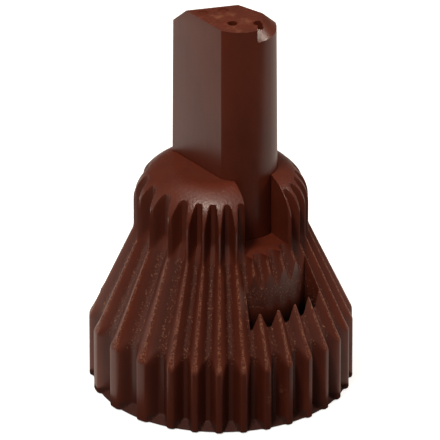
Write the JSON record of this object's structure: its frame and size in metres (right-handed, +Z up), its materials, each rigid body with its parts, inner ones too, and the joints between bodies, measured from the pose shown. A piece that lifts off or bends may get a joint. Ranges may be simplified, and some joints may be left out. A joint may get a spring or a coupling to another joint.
{
  "type": "pin insulator",
  "caption": "Ribbed bell-shaped insulator with a domed, slotted collar that holds a tall half-round post with a bevelled top.",
  "frame": {"origin": "centre of the bell's bottom rim", "axes": "+Z up along the bell's axis, -Y towards the collar's slot, -X towards the post's wide flat"},
  "size_m": [0.044, 0.0438, 0.0661],
  "materials": {
    "bell_plastic": "satin, moulded",
    "post_plastic": "satin, moulded",
    "gasket_rubber": "matte",
    "washer_steel": "brushed",
    "ring_steel": "satin",
    "liner_plastic": "matte"
  },
  "bodies": {
    "root": {"bell_shell": "bell_plastic", "line_post": "post_plastic", "post_gasket": "gasket_rubber", "post_washer": "washer_steel", "retaining_ring": "ring_steel", "pin_liner": "liner_plastic"}
  },
  "joints": []
}
